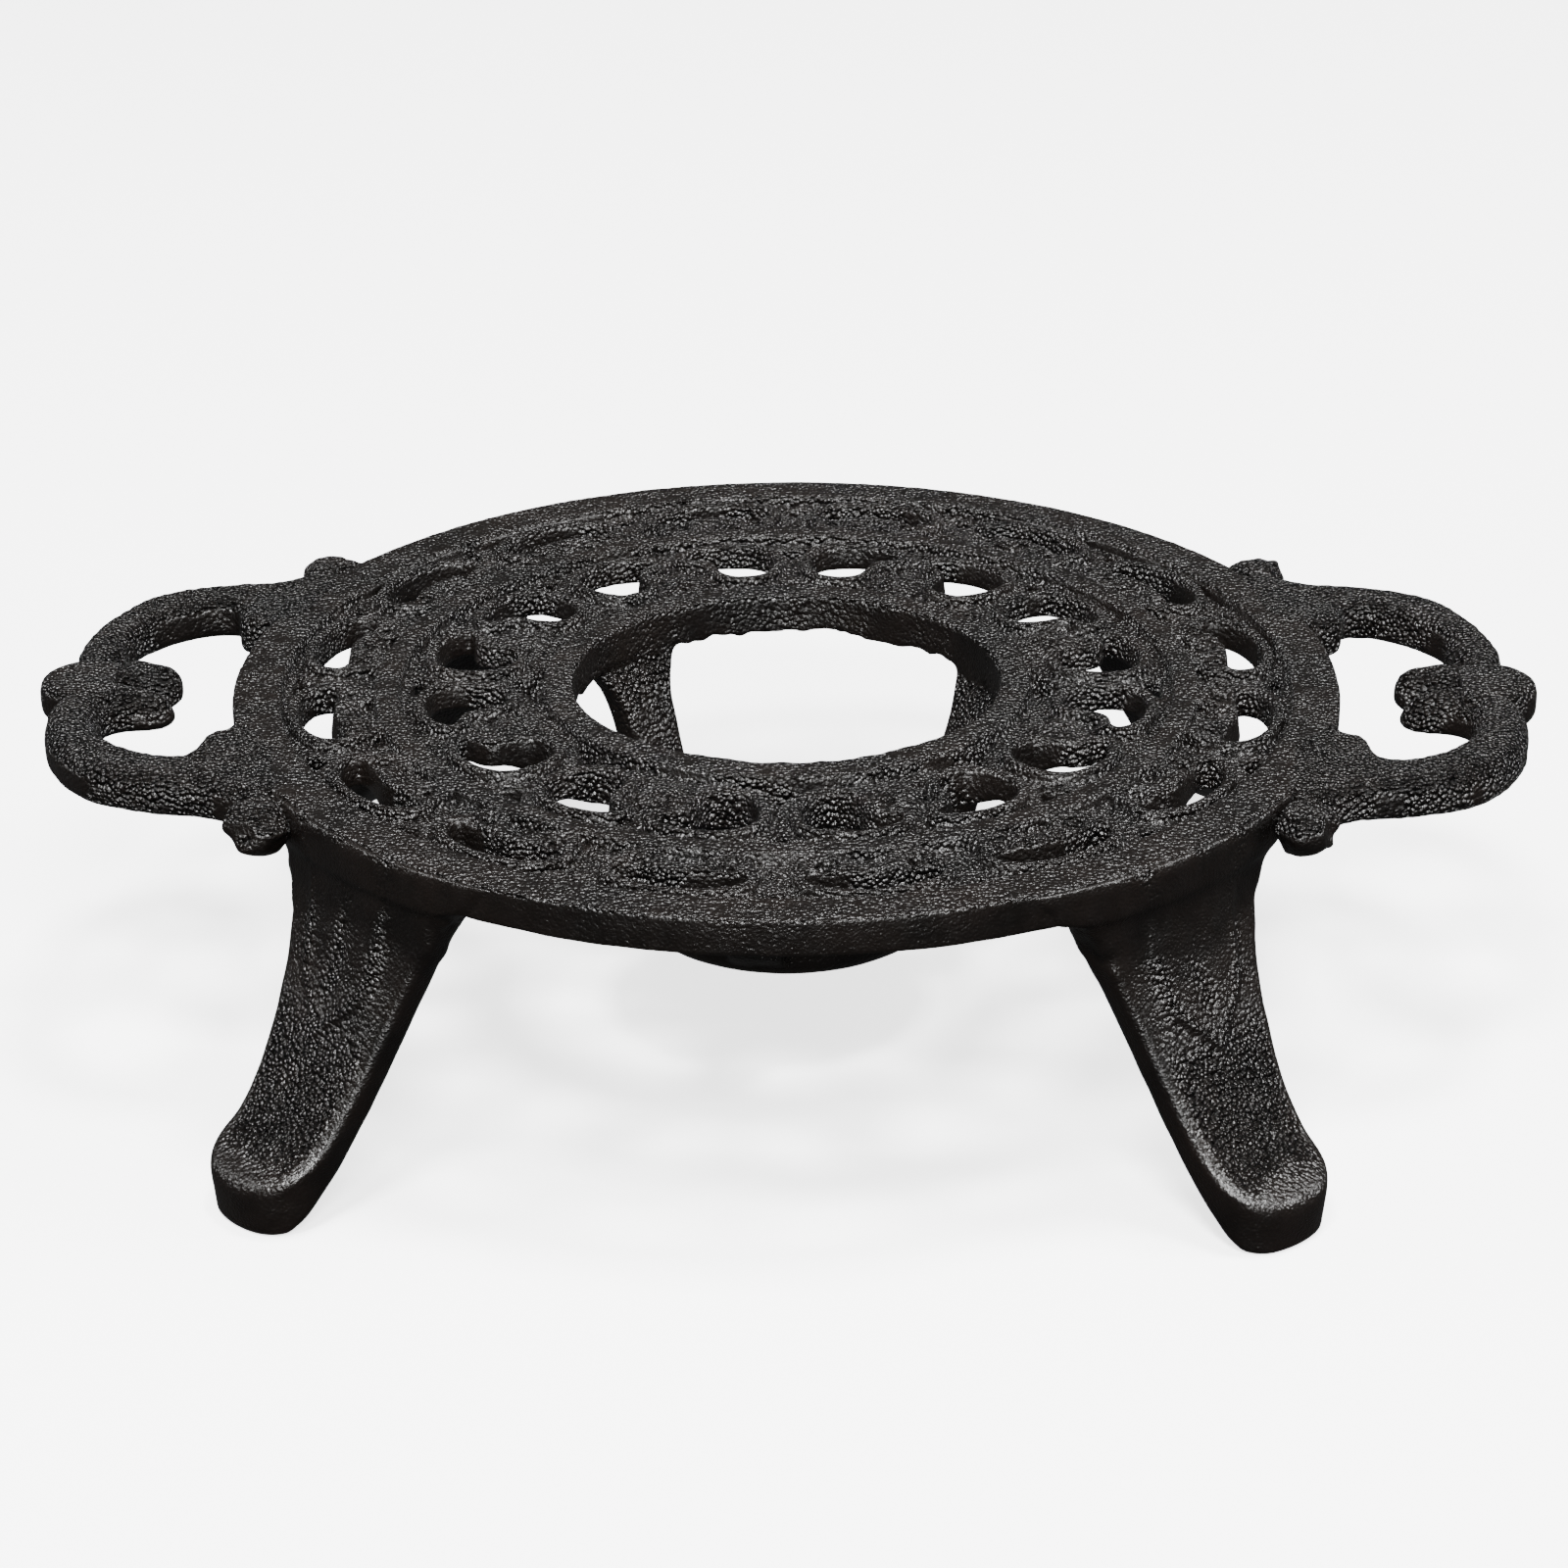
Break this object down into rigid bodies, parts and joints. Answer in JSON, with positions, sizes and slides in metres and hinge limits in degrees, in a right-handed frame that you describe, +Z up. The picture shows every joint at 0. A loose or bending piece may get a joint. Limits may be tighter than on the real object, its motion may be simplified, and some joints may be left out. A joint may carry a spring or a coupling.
{
  "type": "candle warming stand",
  "caption": "Round openwork cast-iron trivet on splayed legs, with scroll handles at both sides and a candle tray hung under its middle hole.",
  "frame": {"origin": "on the ground under the plate's axis, level with the soles of the four legs", "axes": "+Z up along the plate's axis, +X through the middle of the right handle, +Y to the rear"},
  "size_m": [0.2176, 0.16, 0.052],
  "materials": {
    "painted_iron": "sand-cast iron with a thin semi-gloss black-brown paint"
  },
  "bodies": {
    "root": {"rim_ring": "painted_iron", "outer_scrollwork": "painted_iron", "middle_ring": "painted_iron", "inner_scrollwork": "painted_iron", "hub_collar": "painted_iron", "candle_tray": "painted_iron", "leg_front_left": "painted_iron", "leg_front_right": "painted_iron", "leg_rear_left": "painted_iron", "leg_rear_right": "painted_iron", "strut_front": "painted_iron", "strut_left": "painted_iron", "strut_right": "painted_iron", "handle_arm_front_left": "painted_iron", "handle_arm_front_right": "painted_iron", "handle_arm_rear_left": "painted_iron", "handle_arm_rear_right": "painted_iron", "handle_clasp_left": "painted_iron", "handle_clasp_right": "painted_iron", "handle_knob_front_left": "painted_iron", "handle_knob_front_right": "painted_iron", "handle_knob_rear_left": "painted_iron", "handle_knob_rear_right": "painted_iron"}
  },
  "joints": []
}
